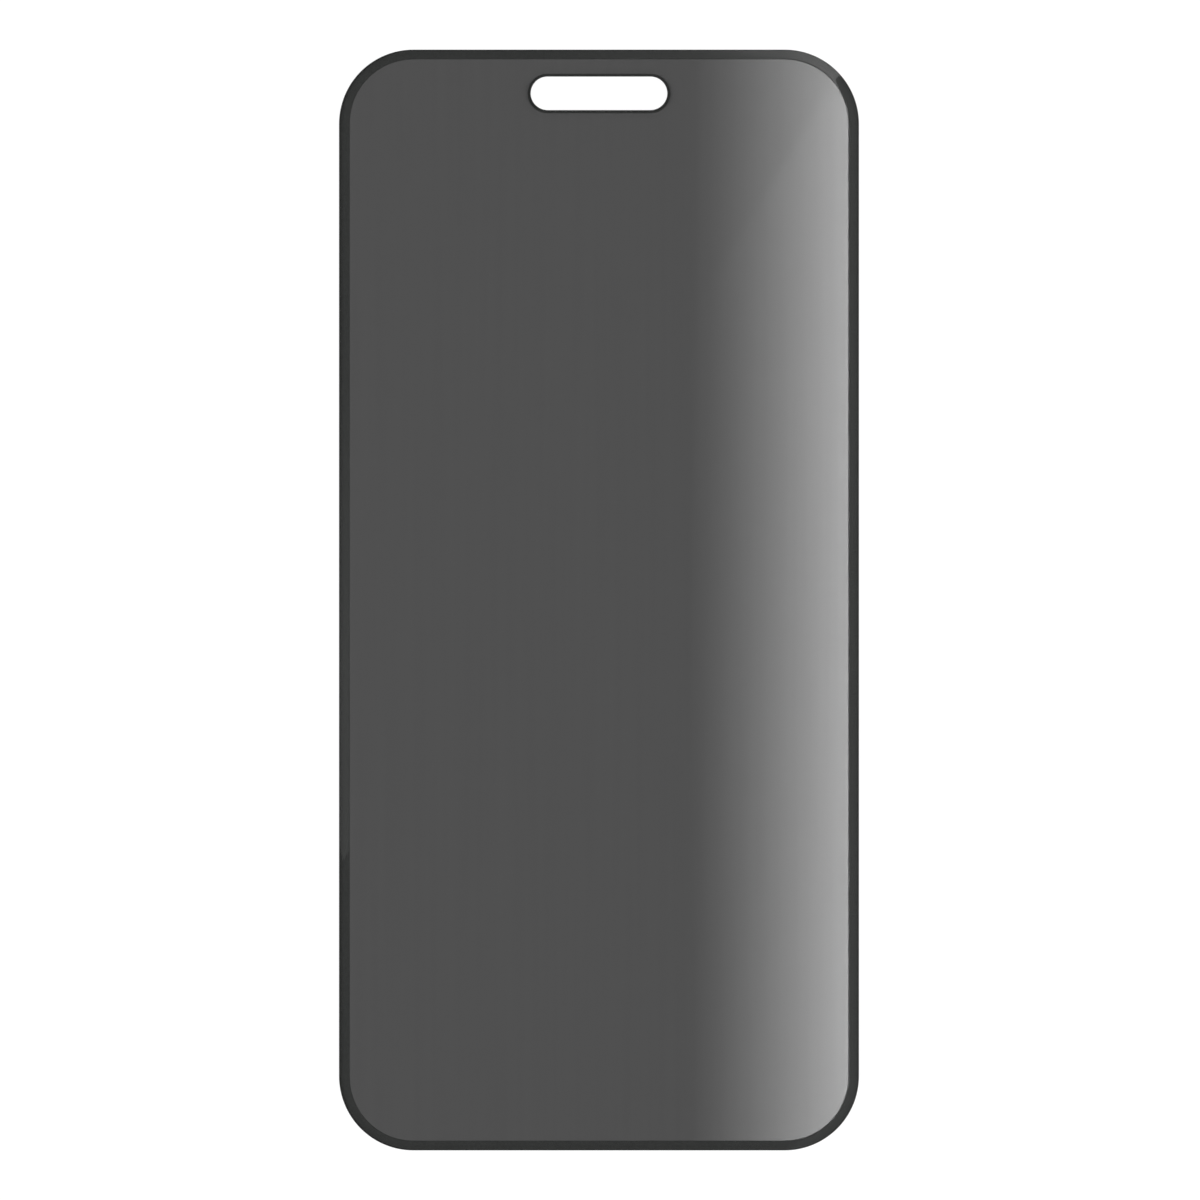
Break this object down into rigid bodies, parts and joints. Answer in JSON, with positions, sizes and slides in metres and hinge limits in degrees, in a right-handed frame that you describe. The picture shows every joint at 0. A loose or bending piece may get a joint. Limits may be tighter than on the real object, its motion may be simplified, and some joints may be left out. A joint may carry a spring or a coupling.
{
  "type": "phone privacy screen protector",
  "caption": "Phone privacy screen protector: thin rounded glass sheet with a ground arc edge over a dark louvre film, with a black border and a pill-shaped sensor slot.",
  "frame": {"origin": "middle of the sheet, on the adhesive face that lies on the phone", "axes": "+Z out of the glass face, +Y along the sheet towards the sensor slot, +X across it"},
  "size_m": [0.0742, 0.1572, 0.0005],
  "materials": {
    "cover_glass": "clear polished tempered glass",
    "black_print": "dense black screen-printed ink",
    "privacy_film": "dark grey louvre film"
  },
  "bodies": {
    "root": {"cover_glass": "cover_glass", "border_print": "black_print", "slot_print": "black_print", "privacy_film": "privacy_film"}
  },
  "joints": []
}
